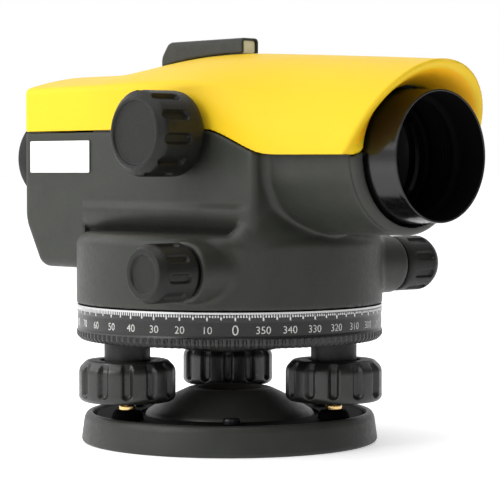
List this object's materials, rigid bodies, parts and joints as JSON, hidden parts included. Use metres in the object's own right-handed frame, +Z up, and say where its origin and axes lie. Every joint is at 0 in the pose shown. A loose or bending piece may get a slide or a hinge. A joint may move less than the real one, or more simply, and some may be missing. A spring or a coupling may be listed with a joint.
{
  "type": "automatic level",
  "caption": "Optical surveying level: focusing telescope with a swinging compensator and hooded objective, on a graduated circle and footscrew base.",
  "frame": {"origin": "centre of the base plate's underside, on the standing axis", "axes": "+X along the line of sight towards the objective, +Y to the observer's left, +Z up along the standing axis"},
  "size_m": [0.19, 0.1232, 0.1311],
  "materials": {
    "grey_housing_paint": "fine-textured dark grey paint",
    "grey_base_paint": "satin dark grey paint",
    "yellow_cover": "smooth satin yellow moulded plastic",
    "black_rubber": "matte moulded rubber",
    "black_anodised": "glossy black anodised",
    "circle_black": "satin black with white graduations",
    "brass": "turned",
    "steel": "ground",
    "aluminium": "machined",
    "optical_glass": "clear coated",
    "white_label": "blank printed film"
  },
  "bodies": {
    "base": {"base_plate": "grey_base_paint", "thread_insert": "brass", "spring_plate": "steel", "spring_plate_screw_1": "steel", "spring_plate_screw_2": "steel", "spring_plate_screw_3": "steel"},
    "footscrew_1": {"footscrew_spindle_1": "brass", "footscrew_knob_1": "black_rubber"},
    "footscrew_2": {"footscrew_spindle_2": "brass", "footscrew_knob_2": "black_rubber"},
    "footscrew_3": {"footscrew_spindle_3": "brass", "footscrew_knob_3": "black_rubber"},
    "tribrach": {"tribrach_body": "grey_housing_paint", "footscrew_bush_1": "brass", "footscrew_bush_2": "brass", "footscrew_bush_3": "brass", "axis_liner": "brass", "circle_friction_ring": "black_rubber"},
    "circle": {"horizontal_circle": "circle_black"},
    "clutch": {"worm_wheel": "brass", "clutch_spring": "steel"},
    "alidade": {"main_housing": "grey_housing_paint", "top_cover": "yellow_cover", "axis_spindle": "steel", "objective_sleeve": "black_anodised", "objective_lens": "optical_glass", "lens_retaining_ring": "black_anodised", "telescope_tube": "aluminium", "compensator_frame": "aluminium", "fixed_prism_front": "optical_glass", "fixed_prism_rear": "optical_glass", "damper_cup": "aluminium", "suspension_ribbon_left": "steel", "suspension_ribbon_right": "steel", "reticle_ring": "steel", "reticle_glass": "optical_glass", "eyepiece_tube": "black_anodised", "circular_level_holder": "black_anodised", "circular_level_vial": "optical_glass", "circular_level_screw_1": "steel", "circular_level_screw_2": "steel", "circular_level_screw_3": "steel", "viewing_prism_mount": "black_rubber", "viewing_prism": "optical_glass", "peep_sight_body": "black_rubber", "peep_sight_window": "optical_glass", "blank_label": "white_label"},
    "focusing_drive": {"focusing_knob": "black_rubber", "focusing_shaft": "steel"},
    "focusing_carriage": {"focusing_lens_cell": "aluminium", "focusing_lens": "optical_glass", "focusing_rack": "brass"},
    "tangent_drive": {"worm_shaft": "steel", "tangent_knob_right": "black_rubber", "tangent_knob_left": "black_rubber"},
    "pendulum_unit": {"pendulum": "aluminium", "pendulum_prism": "optical_glass", "damper_piston": "aluminium"},
    "diopter": {"diopter_ring": "black_rubber", "eye_lens": "optical_glass"}
  },
  "joints": [
    {"name": "level_lift", "type": "slide", "parent": "base", "child": "tribrach", "axis": [0, 0, 1], "range_m": [-0.002, 0.003]},
    {"name": "footscrew_turn_1", "type": "hinge", "parent": "base", "child": "footscrew_1", "pos_m": [-0.00763, -0.03733, 0.02], "axis": [0, 0, 1], "range_deg": [-1440, 960]},
    {"name": "footscrew_turn_2", "type": "hinge", "parent": "base", "child": "footscrew_2", "pos_m": [0.03614, 0.01206, 0.02], "axis": [0, 0, 1], "range_deg": [-1440, 960]},
    {"name": "footscrew_turn_3", "type": "hinge", "parent": "base", "child": "footscrew_3", "pos_m": [-0.02851, 0.02527, 0.02], "axis": [0, 0, 1], "range_deg": [-1440, 960]},
    {"name": "circle_turn", "type": "hinge", "parent": "tribrach", "child": "circle", "pos_m": [0, 0, 0.04], "axis": [0, 0, 1], "continuous": true},
    {"name": "coarse_turn", "type": "hinge", "parent": "tribrach", "child": "clutch", "pos_m": [0, 0, 0.0573], "axis": [0, 0, 1], "continuous": true},
    {"name": "fine_turn", "type": "hinge", "parent": "clutch", "child": "alidade", "pos_m": [0, 0, 0.0573], "axis": [0, 0, 1], "continuous": true},
    {"name": "tangent_turn", "type": "hinge", "parent": "alidade", "child": "tangent_drive", "pos_m": [0.0287, 0, 0.0573], "axis": [0, 1, 0], "continuous": true},
    {"name": "focusing_turn", "type": "hinge", "parent": "alidade", "child": "focusing_drive", "pos_m": [0.0095, 0, 0.0998], "axis": [0, 1, 0], "range_deg": [-200, 200]},
    {"name": "focus_slide", "type": "slide", "parent": "alidade", "child": "focusing_carriage", "axis": [1, 0, 0], "range_m": [-0.0069, 0.0069]},
    {"name": "pendulum_swing", "type": "hinge", "parent": "alidade", "child": "pendulum_unit", "pos_m": [-0.042, 0, 0.108], "axis": [0, 1, 0], "range_deg": [-0.5, 0.5]},
    {"name": "diopter_turn", "type": "hinge", "parent": "alidade", "child": "diopter", "pos_m": [-0.085, 0, 0.0925], "axis": [1, 0, 0], "range_deg": [-150, 150]}
  ],
  "couplings": [
    {"joint": "footscrew_turn_1", "follows": "level_lift", "rad_per_m": -8377.5},
    {"joint": "footscrew_turn_2", "follows": "level_lift", "rad_per_m": -8377.5},
    {"joint": "footscrew_turn_3", "follows": "level_lift", "rad_per_m": -8377.5},
    {"joint": "tangent_turn", "follows": "fine_turn", "ratio": 80},
    {"joint": "focusing_turn", "follows": "focus_slide", "rad_per_m": -500}
  ]
}
